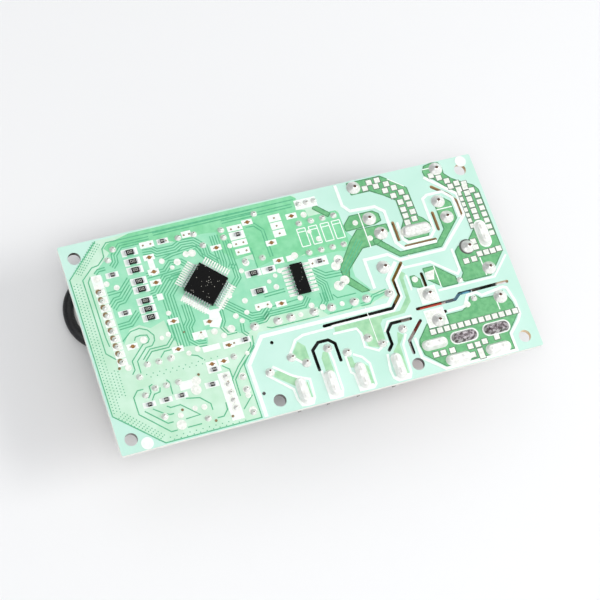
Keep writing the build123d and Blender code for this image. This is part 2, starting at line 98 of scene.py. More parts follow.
floor_mesh = bpy.data.meshes.new("floor")
floor_mesh.from_pydata([(-2, -2, 0), (2, -2, 0), (2, 2, 0), (-2, 2, 0)], [], [(0, 1, 2, 3)])
floor = bpy.data.objects.new("floor", floor_mesh)
bpy.context.scene.collection.objects.link(floor)
paper = bpy.data.materials.new("pale_paper")
paper.use_nodes = True
paper_bsdf = paper.node_tree.nodes["Principled BSDF"]
paper_bsdf.inputs["Base Color"].default_value = (0.89, 0.89, 0.885, 1)
paper_bsdf.inputs["Roughness"].default_value = 0.9
paper_bsdf.inputs["Specular IOR Level"].default_value = 0.1
floor_mesh.materials.append(paper)

for place, size, power, name in (
    ((0.68, -0.22, 0.60), 0.42, 3.8, "key_softbox"),
    ((-0.10, 0.60, 0.85), 0.60, 0.5, "fill_softbox"),
    ((-0.20, -0.22, 0.66), 0.30, 1.3, "front_softbox"),
):
    light = bpy.data.lights.new(name, "AREA")
    light.size = size
    light.energy = power
    lamp = bpy.data.objects.new(name, light)
    lamp.location = place
    lamp.rotation_euler = (-Vector(place)).to_track_quat("-Z", "Y").to_euler()
    bpy.context.scene.collection.objects.link(lamp)

# ---- Wiring lead ----------------------------------------------------------------------------
# A bundle of thin wires in one soft black sleeve. It leaves the crimped plug of the wiring
# header, loops once under the left edge and ends in its own small plug on the surface below.


def srgb(red, green, blue):
    """A colour from its everyday 0 to 255 values."""
    levels = [v / 255 for v in (red, green, blue)]
    return tuple(v / 12.92 if v <= 0.04045 else ((v + 0.055) / 1.055) ** 2.4 for v in levels) + (1.0,)


def finish(name, first, second, roughness, metallic=0.0, grain=900, relief=0.0, coat=0.0, spread=0.18,
           gloss=0.5):
    """A surface with a fine uneven tone between two colours and a slight relief."""
    made = bpy.data.materials.new(name)
    made.use_nodes = True
    tree = made.node_tree
    shader = tree.nodes["Principled BSDF"]
    shader.inputs["Metallic"].default_value = metallic
    shader.inputs["Roughness"].default_value = roughness
    shader.inputs["Specular IOR Level"].default_value = gloss
    shader.inputs["Coat Weight"].default_value = coat
    shader.inputs["Coat Roughness"].default_value = 0.12
    where = tree.nodes.new("ShaderNodeTexCoord")
    noise = tree.nodes.new("ShaderNodeTexNoise")
    noise.inputs["Scale"].default_value = grain
    noise.inputs["Detail"].default_value = 3.0
    tree.links.new(where.outputs["Object"], noise.inputs["Vector"])
    ramp = tree.nodes.new("ShaderNodeValToRGB")
    ramp.color_ramp.elements[0].position = 0.5 - spread
    ramp.color_ramp.elements[1].position = 0.5 + spread
    ramp.color_ramp.elements[0].color = srgb(*first)
    ramp.color_ramp.elements[1].color = srgb(*second)
    tree.links.new(noise.outputs["Fac"], ramp.inputs["Fac"])
    tree.links.new(ramp.outputs["Color"], shader.inputs["Base Color"])
    if relief:
        bump = tree.nodes.new("ShaderNodeBump")
        bump.inputs["Strength"].default_value = 0.6
        bump.inputs["Distance"].default_value = relief
        tree.links.new(noise.outputs["Fac"], bump.inputs["Height"])
        tree.links.new(bump.outputs["Normal"], shader.inputs["Normal"])
    return made


def dress(node, made):
    """Gives a CAD node its finish."""
    shape = bpy.data.objects[node]
    shape.data.materials.clear()
    shape.data.materials.append(made)


BOARD_LENGTH, BOARD_WIDTH = 136.0, 67.0


def spot(x, y, z=0.0):
    """A place given in mm from the left and bottom edges and the floor, in the row frame."""
    return Vector(((x - BOARD_LENGTH / 2) / 1000, (y - BOARD_WIDTH / 2) / 1000, z / 1000))


sleeve_rubber = finish("black_sleeve", (18, 18, 20), (40, 40, 44), 0.45, grain=2600, relief=0.00005)
lead_curve = bpy.data.curves.new("wiring_lead", "CURVE")
lead_curve.dimensions = "3D"
lead_curve.bevel_depth = 0.0017
lead_curve.bevel_resolution = 5
lead_curve.use_fill_caps = True
lead_line = lead_curve.splines.new("NURBS")
lead_route = [
    (14.9, 37.0, 12.6), (22.6, 37.0, 12.6), (30.2, 42.6, 11.0), (32.2, 52.2, 8.4), (27.6, 61.2, 5.8),
    (19.0, 65.1, 3.8), (9.3, 65.1, 2.4), (2.3, 58.1, 2.0), (2.3, 48.1, 2.0), (9.3, 41.2, 2.0),
    (19.4, 41.2, 2.0), (31.0, 43.8, 2.0), (43.5, 39.8, 2.0), (55.5, 41.6, 2.0),
]
lead_line.points.add(len(lead_route) - 1)
for knot, place in zip(lead_line.points, lead_route):
    knot.co = (*spot(*place), 1.0)
lead_line.order_u = 3
lead_line.use_endpoint_u = True
wiring_lead = bpy.data.objects.new("wiring_lead", lead_curve)
bpy.context.scene.collection.objects.link(wiring_lead)
lead_curve.materials.append(sleeve_rubber)
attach(wiring_lead, "root")
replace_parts(wiring_lead, "lead_sleeve")
plug_black = finish("plug_nylon", (24, 24, 26), (40, 40, 43), 0.5, grain=1400, relief=0.00002)
dress("panel_plug", plug_black)
dress("lead_boot", sleeve_rubber)
dress("lead_end_plug", plug_black)

# ---- Laminate -------------------------------------------------------------------------------
# Glass-and-paper laminate, 1.6 mm, punched and routed. The solder side carries a glossy mint
# solder mask, the cut edges and the component side show the bare cream laminate.
FACE = 27.1  # height of the solder side above the floor, mm


def reckon(tree, operation, first, second=0.0):
    """One sum or comparison of two values in a finish."""
    made = tree.nodes.new("ShaderNodeMath")
    made.operation = operation
    for socket, value in zip(made.inputs, (first, second)):
        if isinstance(value, float):
            socket.default_value = value
        else:
            tree.links.new(value, socket)
    return made.outputs[0]


def tinted(tree, share, under, over):
    """The tone over where the share is one, and the tone under elsewhere."""
    made = tree.nodes.new("ShaderNodeMix")
    made.data_type = "RGBA"
    for socket, tone in ((0, share), (6, under), (7, over)):
        if isinstance(tone, tuple):
            made.inputs[socket].default_value = tone
        else:
            tree.links.new(tone, made.inputs[socket])
    return made.outputs[2]


def axes_of(tree, source):
    """The three axes of a place or of a direction."""
    axes = tree.nodes.new("ShaderNodeSeparateXYZ")
    tree.links.new(source, axes.inputs[0])
    return axes.outputs


def place_on(tree):
    """Where the shaded point lies in the row frame, in metres."""
    return tree.nodes["Texture Coordinate"].outputs["Object"]


def own_tone(tree):
    """The uneven tone that a finish starts with."""
    return tree.nodes["Color Ramp"].outputs["Color"]


def recolour(tree, tone):
    """Puts another tone on the surface."""
    tree.links.new(tone, tree.nodes["Principled BSDF"].inputs["Base Color"])


def speckle(tree, scale, first, second, start=0.0, end=1.0):
    """A fine random mix of two tones."""
    noise = tree.nodes.new("ShaderNodeTexNoise")
    noise.inputs["Scale"].default_value = scale
    tree.links.new(place_on(tree), noise.inputs["Vector"])
    ramp = tree.nodes.new("ShaderNodeValToRGB")
    ramp.color_ramp.elements[0].position = start
    ramp.color_ramp.elements[1].position = end
    ramp.color_ramp.elements[0].color = srgb(*first)
    ramp.color_ramp.elements[1].color = srgb(*second)
    tree.links.new(noise.outputs["Fac"], ramp.inputs["Fac"])
    return ramp.outputs["Color"]


def on_mask(made):
    """Mint mask on the upper face, cream laminate on the outside, tan walls or walls with painted shade in
    slots and holes.
    """
    tree = made.node_tree
    place = axes_of(tree, place_on(tree))
    facing = axes_of(tree, tree.nodes.new("ShaderNodeNewGeometry").outputs["True Normal"])
    # An upright wall that stands inside the outer edges belongs to a slot or a hole.
    inside_x = reckon(tree, "LESS_THAN", reckon(tree, "ABSOLUTE", place["X"]), 0.0676)
    inside_y = reckon(tree, "LESS_THAN", reckon(tree, "ABSOLUTE", place["Y"]), 0.0331)
    upright = reckon(tree, "LESS_THAN", reckon(tree, "ABSOLUTE", facing["Z"]), 0.5)
    wall = reckon(tree, "MULTIPLY", reckon(tree, "MULTIPLY", inside_x, inside_y), upright)
    # Cuts beside the relays and at the right edge have tan walls; the walls of the other cuts carry painted
    # shade, dark brown.
    by_relays = reckon(tree, "MULTIPLY", reckon(tree, "GREATER_THAN", place["X"], 0.029),
                       reckon(tree, "GREATER_THAN", place["Y"], 0.003))
    by_right_edge = reckon(tree, "GREATER_THAN", place["X"], 0.061)
    unshaded_cut = reckon(tree, "MAXIMUM", by_relays, by_right_edge)
    cut_tone_with_painted_shade = tinted(tree, unshaded_cut, srgb(50, 44, 32), srgb(232, 204, 158))
    cream = speckle(tree, 1400, (242, 240, 230), (254, 254, 248))
    bare = tinted(tree, wall, cream, cut_tone_with_painted_shade)
    masked = reckon(tree, "GREATER_THAN", facing["Z"], 0.7)
    recolour(tree, tinted(tree, masked, bare, own_tone(tree)))
    return made


mask_mint = finish("mint_mask_on_laminate", (192, 233, 216), (204, 239, 225), 0.32, grain=60, coat=0.3)
dress("board", on_mask(mask_mint))

# ---- Copper pours under the mask ------------------------------------------------------------
# Etched copper left as wide areas: one pale flood round the logic, and separate strong green
# areas for the mains and relay contacts. The mask lies over all of it.
FLOOD_TOP = FACE + 0.030
SIGNAL_TOP = FACE + 0.048
MAINS_TOP = FACE + 0.064
RIM_TOP = FACE + 0.080
INK_STEP = 0.001  # outlines that overlap differ by a step, so no two faces coincide
INK_STEPS = 11


def printed(name, outlines, low, high, made):
    """One thin layer on the solder side, made of flat outlines with their rims."""
    mesh = bmesh.new()
    for number, outline in enumerate(outlines):
        ink = high + INK_STEP * (number % INK_STEPS)
        upper = [mesh.verts.new(spot(x, y, ink)) for x, y in outline]
        lower = [mesh.verts.new(spot(x, y, low)) for x, y in outline]
        area = sum(a[0] * b[1] - b[0] * a[1] for a, b in zip(outline, outline[1:] + outline[:1]))
        if area < 0:
            upper.reverse()
            lower.reverse()
        mesh.faces.new(upper)
        for i, one in enumerate(upper):
            following = (i + 1) % len(upper)
            mesh.faces.new((one, lower[i], lower[following], upper[following]))
    layer = bpy.data.meshes.new(name)
    mesh.to_mesh(layer)
    mesh.free()
    layer.materials.append(made)
    shape = bpy.data.objects.new(name, layer)
    bpy.context.scene.collection.objects.link(shape)
    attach(shape, "root")
    return shape


def disc(x, y, radius, sides=20):
    """A round outline."""
    turns = [math.tau * i / sides for i in range(sides)]
    return [(x + radius * math.cos(turn), y + radius * math.sin(turn)) for turn in turns]


def plate(x0, y0, x1, y1):
    """A rectangular outline between two corners."""
    return [(x0, y0), (x1, y0), (x1, y1), (x0, y1)]


def ribbon(points, width, shift=0.0):
    """A strip of even width along a bent line, moved sideways by shift."""
    left, right = [], []
    for i, (x, y) in enumerate(points):
        before = points[max(i - 1, 0)]
        after = points[min(i + 1, len(points) - 1)]
        turns = []
        for a, b in ((before, (x, y)), ((x, y), after)):
            length = math.hypot(b[0] - a[0], b[1] - a[1])
            if length:
                turns.append((-(b[1] - a[1]) / length, (b[0] - a[0]) / length))
        nx, ny = (sum(t[k] for t in turns) for k in (0, 1))
        size = math.hypot(nx, ny)
        nx, ny = nx / size, ny / size
        stretch = 1 / max(0.5, nx * turns[0][0] + ny * turns[0][1])
        left.append((x + nx * (shift + width / 2) * stretch, y + ny * (shift + width / 2) * stretch))
        right.append((x + nx * (shift - width / 2) * stretch, y + ny * (shift - width / 2) * stretch))
    return left + right[::-1]


flood_green = finish("masked_flood", (188, 228, 198), (208, 238, 216), 0.34, grain=180, coat=0.25)
middle_green = finish("masked_signal_area", (142, 218, 178), (162, 226, 190), 0.34, grain=260, coat=0.25)
ground_green = finish("masked_ground", (118, 206, 150), (140, 218, 168), 0.34, grain=420, coat=0.25)
mains_green = finish("masked_mains_copper", (92, 170, 112), (118, 190, 132), 0.36, grain=900, coat=0.2)
pale_green = finish("masked_tab_copper", (150, 206, 160), (176, 222, 180), 0.36, grain=500, coat=0.2)

printed("logic_flood", [
    [(0.7, 12.2), (13.4, 0.5), (43.3, 0.5), (43.3, 17.5), (48.4, 23.4), (50.6, 26.2), (88.0, 25.7),
     (89.3, 27.0), (93.6, 27.0), (94.4, 28.3), (93.4, 29.9), (88.6, 30.4), (85.4, 33.6), (84.4, 36.4),
     (87.6, 41.5), (87.6, 58.4), (83.8, 58.4), (80.2, 61.4), (77.8, 61.4), (76.2, 64.8), (75.6, 66.4),
     (11.6, 66.4), (0.7, 56.0)],
], FACE, FLOOD_TOP, flood_green)
printed("signal_area", [
    [(10.4, 32.4), (13.4, 36.6), (16.6, 37.4), (19.6, 35.6), (24.2, 37.0), (25.0, 30.4), (28.0, 27.4),
     (34.8, 26.6), (35.6, 30.8), (42.0, 30.6), (45.0, 27.4), (48.0, 27.2), (53.0, 29.0), (54.6, 30.2),
     (70.6, 29.6), (73.2, 26.2), (87.4, 26.4), (92.8, 28.2), (88.6, 29.6), (84.6, 33.4), (83.4, 37.2),
     (86.8, 42.0), (86.8, 46.0), (73.0, 46.6), (66.0, 46.4), (62.4, 48.6), (57.4, 48.4), (50.8, 52.0),
     (48.8, 60.8), (43.0, 62.4), (33.6, 60.4), (29.0, 64.2), (17.2, 64.4), (13.4, 60.4), (8.2, 56.2),
     (10.4, 55.0)],
    [(83.6, 47.6), (87.6, 51.4), (90.8, 46.3), (87.6, 43.4), (85.6, 38.4), (85.6, 36.0), (89.2, 30.6),
     (85.7, 30.4), (79.0, 35.3), (74.8, 38.4), (76.0, 46.4)],
], FLOOD_TOP, SIGNAL_TOP, middle_green)
printed("upper_ground", [
    [(13.4, 63.4), (14.8, 64.6), (22.0, 66.4), (74.6, 66.6), (76.0, 65.4), (74.6, 61.6), (77.6, 61.0),
     (77.8, 58.6), (86.8, 58.6), (87.6, 57.4), (87.6, 44.6), (82.4, 45.4), (73.4, 45.6), (72.6, 47.0),
     (66.6, 45.2), (62.8, 47.4), (56.9, 46.2), (56.9, 50.8), (51.0, 50.4), (48.2, 53.6), (48.2, 60.4),
     (43.6, 61.0), (35.8, 60.2), (28.6, 62.6), (17.6, 62.6), (15.6, 60.6)],
], FLOOD_TOP, MAINS_TOP, ground_green)
mains_areas = [
    [(93.3, 66.4), (104.6, 66.4), (107.5, 64.2), (111.8, 60.6), (112.0, 50.5), (113.4, 49.4), (114.9, 47.3),
     (114.9, 46.2), (113.0, 43.4), (106.5, 43.4), (105.2, 45.0), (105.2, 47.4), (107.0, 50.2),
     (107.0, 57.3), (103.6, 59.9), (99.8, 62.3), (93.6, 62.3)],
    [(87.8, 53.0), (90.5, 55.6), (98.2, 55.6), (99.9, 54.3), (99.9, 51.9), (97.6, 51.2), (87.8, 51.0)],
    [(88.0, 47.6), (91.3, 50.7), (101.2, 50.4), (101.2, 48.0), (98.0, 45.6), (96.4, 44.6), (91.0, 44.4),
     (84.5, 38.6), (83.8, 36.2), (88.5, 30.6), (86.0, 30.6), (82.3, 34.4), (81.8, 39.6)],
    [(95.2, 46.4), (96.6, 46.4), (102.4, 40.3), (114.8, 40.3), (118.7, 44.2), (118.7, 55.0), (121.6, 55.0),
     (124.1, 52.6), (124.1, 46.9), (115.9, 38.9), (101.8, 38.9), (95.2, 45.0)],
    [(118.8, 64.5), (119.8, 66.3), (122.5, 66.8), (124.8, 66.4), (125.5, 64.5), (125.3, 62.4),
     (127.2, 60.2), (130.5, 58.0), (133.4, 56.4), (134.6, 54.6), (134.7, 33.0), (131.0, 29.0),
     (128.0, 26.0), (119.0, 26.0), (118.2, 27.0), (119.5, 28.8), (119.5, 36.2), (121.0, 37.6),
     (124.9, 38.6), (128.2, 42.0), (128.2, 55.0), (127.2, 55.6), (124.2, 58.2), (121.4, 61.4),
     (119.0, 62.4)],
    [(107.6, 29.4), (111.8, 25.9), (116.6, 25.9), (116.6, 28.3), (111.0, 33.3), (107.3, 33.3)],
    [(102.2, 28.4), (105.2, 27.2), (105.2, 30.2), (103.8, 31.8), (102.4, 31.8)],
    [(97.7, 9.8), (98.2, 11.4), (102.3, 15.8), (102.4, 13.9), (109.3, 13.9), (109.3, 17.0), (114.8, 17.0),
     (117.2, 18.4), (118.6, 20.6), (120.6, 20.8), (122.0, 19.4), (126.2, 19.2), (129.6, 20.2),
     (131.4, 15.8), (131.6, 11.8), (129.8, 9.8), (126.6, 6.6), (126.5, 1.2), (103.6, 1.2), (98.1, 6.4)],
    [(79.9, 60.8), (80.9, 61.9), (84.9, 58.1), (83.9, 57.0)],
]
printed("mains_copper", mains_areas, FACE, MAINS_TOP, mains_green)
rim_green = finish("mains_copper_rims", (62, 128, 84), (82, 150, 100), 0.4, grain=900)
rims = []
for area in mains_areas:
    for one, other in zip(area, area[1:] + area[:1]):
        rims.append(ribbon([one, other], 0.3))
printed("mains_copper_rims", rims, FACE, RIM_TOP, rim_green)
printed("tab_copper", [
    [(58.7, 17.5), (61.2, 20.4), (63.0, 18.5), (63.0, 14.0), (61.0, 13.4), (59.0, 15.0)],
    [(51.3, 12.9), (52.5, 13.2), (57.5, 9.4), (60.0, 7.5), (60.0, 2.2), (58.5, 1.5), (57.0, 6.5),
     (50.8, 11.6)],
    [(66.6, 8.6), (66.6, 13.5), (67.6, 15.3), (69.0, 15.3), (69.0, 8.6)],
    [(73.5, 20.5), (80.4, 20.4), (81.6, 18.2), (82.0, 13.5), (85.0, 12.4), (87.8, 14.2), (88.0, 19.4),
     (89.2, 20.7), (96.6, 20.9), (99.8, 24.0), (100.2, 31.8), (101.3, 33.2), (100.1, 34.2), (99.0, 32.4),
     (98.8, 25.6), (95.4, 21.9), (73.7, 21.9)],
    [(74.2, 11.8), (75.8, 11.6), (75.9, 9.5), (78.6, 8.8), (79.7, 7.5), (79.7, 2.0), (78.0, 1.2),
     (76.0, 8.0), (74.3, 8.5)],
    [(92.2, 15.6), (93.8, 14.2), (91.6, 11.6), (91.2, 2.0), (90.0, 1.4), (89.8, 9.0), (88.8, 9.8),
     (91.2, 12.2)],
], FACE, SIGNAL_TOP, pale_green)

# ---- Tracks ---------------------------------------------------------------------------------
# The etched lines between the pale copper areas, dark green through the mask. They run in
# parallel bundles from the wiring header and the resistor column to the two chips.
gap_green = finish("etched_lines", (78, 172, 126), (98, 190, 144), 0.4, grain=700)
gap_lines = [
    # line, how many side by side, pitch
    ([(6.8, 28.8), (4.5, 31.2), (4.5, 55.0), (8.2, 58.3), (10.3, 58.6), (12.7, 60.8), (12.9, 63.4),
      (14.6, 65.1), (75.0, 65.2)], 1, 1.0),
    ([(0.8, 12.2), (0.8, 56.0), (11.6, 66.3)], 1, 1.0),
    ([(0.8, 12.2), (13.4, 0.6), (43.2, 0.6), (43.2, 17.5), (48.3, 23.4)], 1, 1.0),
    ([(6.2, 33.0), (5.9, 36.0), (5.9, 54.0), (7.0, 55.6)], 1, 1.0),
    ([(10.5, 44.5), (12.3, 46.2), (14.2, 46.4), (17.9, 50.1)], 4, 0.85),
    ([(10.4, 49.0), (14.6, 49.2), (17.9, 52.4)], 2, 0.85),
    ([(8.6, 56.0), (9.8, 57.0), (12.0, 57.1)], 2, 0.8),
    ([(14.2, 57.0), (15.6, 58.4), (15.8, 60.6), (18.4, 63.2), (27.6, 63.2)], 3, 0.8),
    ([(10.6, 38.2), (14.4, 38.4), (17.7, 41.4)], 3, 0.85),
    ([(10.4, 33.6), (13.5, 36.0), (16.3, 36.4), (18.5, 35.3), (19.9, 33.2), (19.6, 31.6), (18.4, 30.2),
      (16.5, 30.1), (12.8, 26.6), (12.7, 22.8)], 1, 1.0),
    ([(13.8, 33.0), (14.4, 34.0), (16.0, 34.2), (17.9, 33.8), (18.2, 32.4), (17.5, 31.5), (15.9, 31.3),
      (11.3, 27.0), (11.3, 24.2), (10.2, 23.0)], 1, 1.0),
    ([(14.9, 26.3), (17.6, 28.9), (22.9, 28.9), (25.3, 31.2), (25.3, 36.0)], 2, 0.85),
    ([(19.8, 26.0), (21.4, 27.6), (23.6, 27.6)], 1, 1.0),
    ([(27.6, 27.5), (27.6, 44.6), (31.4, 48.4), (33.6, 48.6)], 5, 0.85),
    ([(22.8, 45.6), (24.6, 45.8), (28.8, 50.0), (34.2, 50.4)], 4, 0.8),
    ([(23.4, 51.8), (29.2, 52.0), (31.6, 54.2), (34.8, 53.8), (36.4, 52.2)], 3, 0.8),
    ([(24.4, 59.8), (27.2, 59.6), (28.6, 58.3), (34.2, 58.3), (36.4, 59.4), (40.4, 59.2), (43.0, 56.6),
      (43.0, 53.8), (45.6, 51.0)], 4, 0.8),
    ([(28.4, 55.4), (33.0, 56.6), (40.6, 57.2), (41.6, 54.4), (44.2, 51.6)], 2, 0.8),
    ([(46.4, 48.8), (47.0, 50.4), (47.0, 59.6)], 4, 0.8),
    ([(48.9, 48.0), (50.1, 49.4), (50.1, 57.2)], 3, 0.8),
    ([(50.2, 49.4), (50.2, 44.6), (46.4, 40.9)], 3, 0.8),
    ([(43.4, 37.6), (50.2, 31.4), (53.6, 31.2), (56.2, 33.4)], 4, 0.8),
    ([(32.0, 40.4), (32.0, 35.0), (30.4, 33.2), (30.4, 29.4), (32.2, 27.6), (34.5, 27.4)], 4, 0.8),
    ([(42.0, 37.2), (41.6, 32.2), (40.4, 30.4), (41.6, 28.2), (44.4, 28.2)], 2, 0.8),
    ([(49.0, 29.4), (53.8, 29.6), (55.5, 31.0), (67.0, 31.0), (69.0, 33.2)], 3, 0.75),
    ([(46.6, 30.2), (46.2, 27.6), (47.4, 26.2)], 2, 0.8),
    ([(53.6, 27.2), (55.0, 26.6), (70.4, 26.6)], 1, 1.0),
    ([(71.6, 28.4), (73.8, 30.8), (73.8, 33.6)], 3, 0.8),
    ([(75.2, 30.4), (75.2, 36.0), (73.0, 38.4)], 4, 0.75),
    ([(76.8, 32.2), (77.8, 30.8), (84.0, 30.8)], 1, 1.0),
    ([(73.8, 26.5), (80.8, 26.5), (82.2, 27.8)], 1, 1.0),
    ([(84.2, 26.8), (87.0, 26.8), (88.8, 28.6), (93.6, 29.4)], 2, 0.8),
    ([(73.0, 41.6), (76.6, 38.6), (82.6, 38.4), (87.0, 42.8), (91.0, 47.2)], 3, 0.9),
    ([(50.8, 63.2), (74.0, 63.4)], 2, 0.9),
    ([(29.2, 64.4), (60.8, 64.6)], 2, 0.8),
    ([(57.6, 60.2), (60.4, 60.0), (62.4, 57.6), (62.4, 48.6)], 2, 0.9),
    ([(57.0, 46.2), (57.0, 53.0)], 1, 1.0),
    ([(56.0, 37.0), (62.8, 37.2)], 2, 0.9),
    ([(57.0, 33.0), (62.8, 33.2), (66.6, 33.4)], 1, 1.0),
    ([(11.9, 17.9), (10.0, 17.9), (8.4, 16.1), (8.4, 10.8), (16.0, 3.4), (17.9, 3.4)], 1, 1.0),
    ([(21.0, 3.4), (25.4, 3.4)], 1, 1.0),
    ([(10.3, 11.3), (15.8, 6.1), (17.5, 6.1)], 1, 1.0),
    ([(12.8, 11.4), (15.7, 9.2), (17.2, 8.5), (18.4, 8.5)], 1, 1.0),
    ([(17.0, 11.2), (18.0, 10.5), (21.0, 10.6), (25.8, 6.2), (21.3, 6.0)], 1, 1.0),
    ([(30.4, 3.9), (32.4, 3.9), (34.0, 5.6), (34.2, 7.8)], 1, 1.0),
    ([(14.9, 18.7), (13.8, 18.3), (13.8, 16.4), (12.6, 14.9)], 1, 1.0),
    ([(13.4, 14.0), (14.6, 15.6), (16.4, 15.9), (16.8, 17.2)], 1, 1.0),
    ([(19.8, 14.2), (20.0, 18.0), (19.3, 19.0)], 1, 1.0),
    ([(23.2, 12.0), (27.2, 11.2), (29.8, 8.6), (29.8, 6.6)], 1, 1.0),
    ([(28.0, 24.8), (30.6, 23.8), (31.8, 22.4)], 1, 1.0),
    ([(36.6, 19.0), (38.5, 17.4), (38.6, 14.2)], 1, 1.0),
    ([(38.6, 8.6), (38.8, 14.0), (41.6, 17.2), (47.4, 22.4), (48.0, 25.8)], 2, 0.9),
    ([(38.8, 4.4), (42.6, 8.0)], 1, 1.0),
]
gap_width = 0.34
gap_strips = []
for line, count, pitch in gap_lines:
    for strand in range(count):
        gap_strips.append(ribbon(line, gap_width, (strand - (count - 1) / 2) * pitch))
printed("etched_lines", gap_strips, FACE, RIM_TOP, gap_green)

dot_radius, dot_sides, dot_pitch = 0.2, 6, 0.95


def staggered(x, y, rows):
    """Three columns of hatching dots, the middle one half a pitch higher."""
    return [
        disc(x + dot_pitch * column, y + dot_pitch * row + 0.47 * (column % 2), dot_radius, dot_sides)
        for row in range(rows) for column in range(3)
    ]


hatch_dots = staggered(1.5, 13.0, 44)
# Four slanted rows follow each cut corner of the flood on the left.
upper_pitch, lower_pitch = 0.62, 0.72
for step in range(14):
    for column in range(4):
        shift = 0.62 * (column - 1.5)
        rise = shift * 0.6
        upper_x, upper_y = 3.6 + upper_pitch * step - shift, 57.4 + upper_pitch * step + rise
        lower_x, lower_y = 3.4 + lower_pitch * step + shift, 11.8 - lower_pitch * step + rise
        hatch_dots.append(disc(upper_x, upper_y, dot_radius, dot_sides))
        hatch_dots.append(disc(lower_x, lower_y, dot_radius, dot_sides))
# A zigzag row runs along the lower edge and another above the unfitted parts.
for step in range(24):
    hatch_dots.append(disc(15.2 + step, 1.9 - 0.9 * (step % 2), dot_radius, dot_sides))
    hatch_dots.append(disc(14.2 + step, 22.0 - step % 2, dot_radius, dot_sides))
hatch_dots += staggered(4.4, 17.4, 9)
printed("pour_hatching", hatch_dots, FACE, MAINS_TOP, gap_green)

# ---- White print ----------------------------------------------------------------------------
# Screen-printed white ink on the mask: isolation borders, part outlines and solid fields
# round the chip parts.
PRINT_TOP = FACE + 0.096
white_ink = finish("white_print", (238, 246, 238), (252, 255, 250), 0.55, grain=900)
borders = [
    # middle line, width
    ([(44.6, 0.4), (44.6, 17.0), (51.0, 24.7), (92.4, 24.7), (95.3, 27.4), (95.1, 32.6),
      (99.6, 37.6)], 1.2),
    ([(73.0, 22.4), (93.6, 22.4), (97.6, 26.2), (97.6, 31.8), (101.6, 36.0)], 0.7),
    ([(89.5, 66.6), (89.5, 59.5), (91.3, 57.2), (99.5, 56.8), (102.0, 54.6), (102.0, 43.6), (103.9, 41.1),
      (115.0, 41.0)], 1.0),
    ([(104.6, 50.0), (104.6, 44.2), (105.8, 42.8), (113.7, 42.8), (115.5, 44.6), (115.5, 55.6),
      (117.2, 56.6), (122.5, 56.6), (125.2, 53.8), (125.2, 47.0)], 0.9),
    ([(90.2, 30.8), (90.2, 40.5), (98.0, 40.5), (101.2, 37.8), (116.2, 37.8), (127.0, 47.6), (127.0, 54.8),
      (120.6, 60.6), (118.4, 62.6)], 1.0),
    ([(100.6, 35.1), (110.4, 34.9), (117.6, 28.9), (118.7, 30.0), (118.7, 37.4)], 0.8),
    ([(101.4, 32.6), (101.4, 27.4)], 0.6),
    ([(109.6, 25.2), (129.0, 25.2), (135.2, 31.4)], 0.7),
    ([(96.9, 12.4), (96.9, 5.8), (103.0, 0.6), (127.1, 0.6), (127.1, 6.0), (131.0, 9.6), (132.4, 11.6),
      (132.4, 16.0), (131.3, 20.8), (130.2, 21.3), (122.6, 20.3), (121.2, 21.6), (118.0, 21.4),
      (115.9, 18.2), (110.0, 18.0)], 0.9),
    ([(61.8, 12.4), (57.4, 16.8), (60.6, 21.0), (63.4, 22.0), (73.2, 22.1)], 0.8),
    ([(48.6, 12.8), (51.9, 9.6), (55.2, 6.4), (55.4, 3.0), (56.2, 1.0), (57.9, 0.7), (59.6, 0.8),
      (60.6, 2.4), (61.0, 8.2), (57.7, 9.7), (55.9, 10.8), (51.2, 14.8)], 0.75),
    ([(65.3, 9.8), (65.2, 0.9), (66.9, 0.6), (69.0, 0.7), (69.7, 2.6), (69.9, 11.6), (69.6, 14.8)], 0.75),
    ([(73.9, 12.3), (73.9, 7.0), (74.8, 6.2), (74.9, 0.9), (79.2, 0.7), (80.2, 1.6), (80.5, 8.2),
      (78.9, 10.7), (76.4, 12.3)], 0.75),
    ([(86.8, 9.6), (85.9, 4.6), (86.2, 1.9), (87.5, 0.8), (91.2, 0.8), (92.0, 2.2), (92.6, 11.2),
      (94.6, 14.4)], 0.75),
    ([(72.6, 20.0), (80.2, 19.8), (81.0, 18.0), (80.8, 13.6), (84.6, 11.4), (88.4, 13.6)], 0.7),
    ([(88.4, 16.6), (90.4, 19.6), (98.4, 19.6)], 0.6),
    ([(93.7, 56.0), (93.7, 44.0)], 0.35),
    ([(111.0, 33.4), (111.0, 26.2)], 0.35),
    ([(126.6, 32.4), (126.6, 26.2)], 0.35),
    ([(126.6, 19.4), (126.6, 14.4)], 0.35),
    ([(85.2, 25.6), (85.2, 13.0)], 0.25),
    ([(119.0, 65.2), (121.6, 65.2)], 0.35),
    ([(118.6, 51.0), (124.0, 51.0)], 0.35),
    ([(106.6, 64.9), (111.2, 61.2)], 0.3),
]
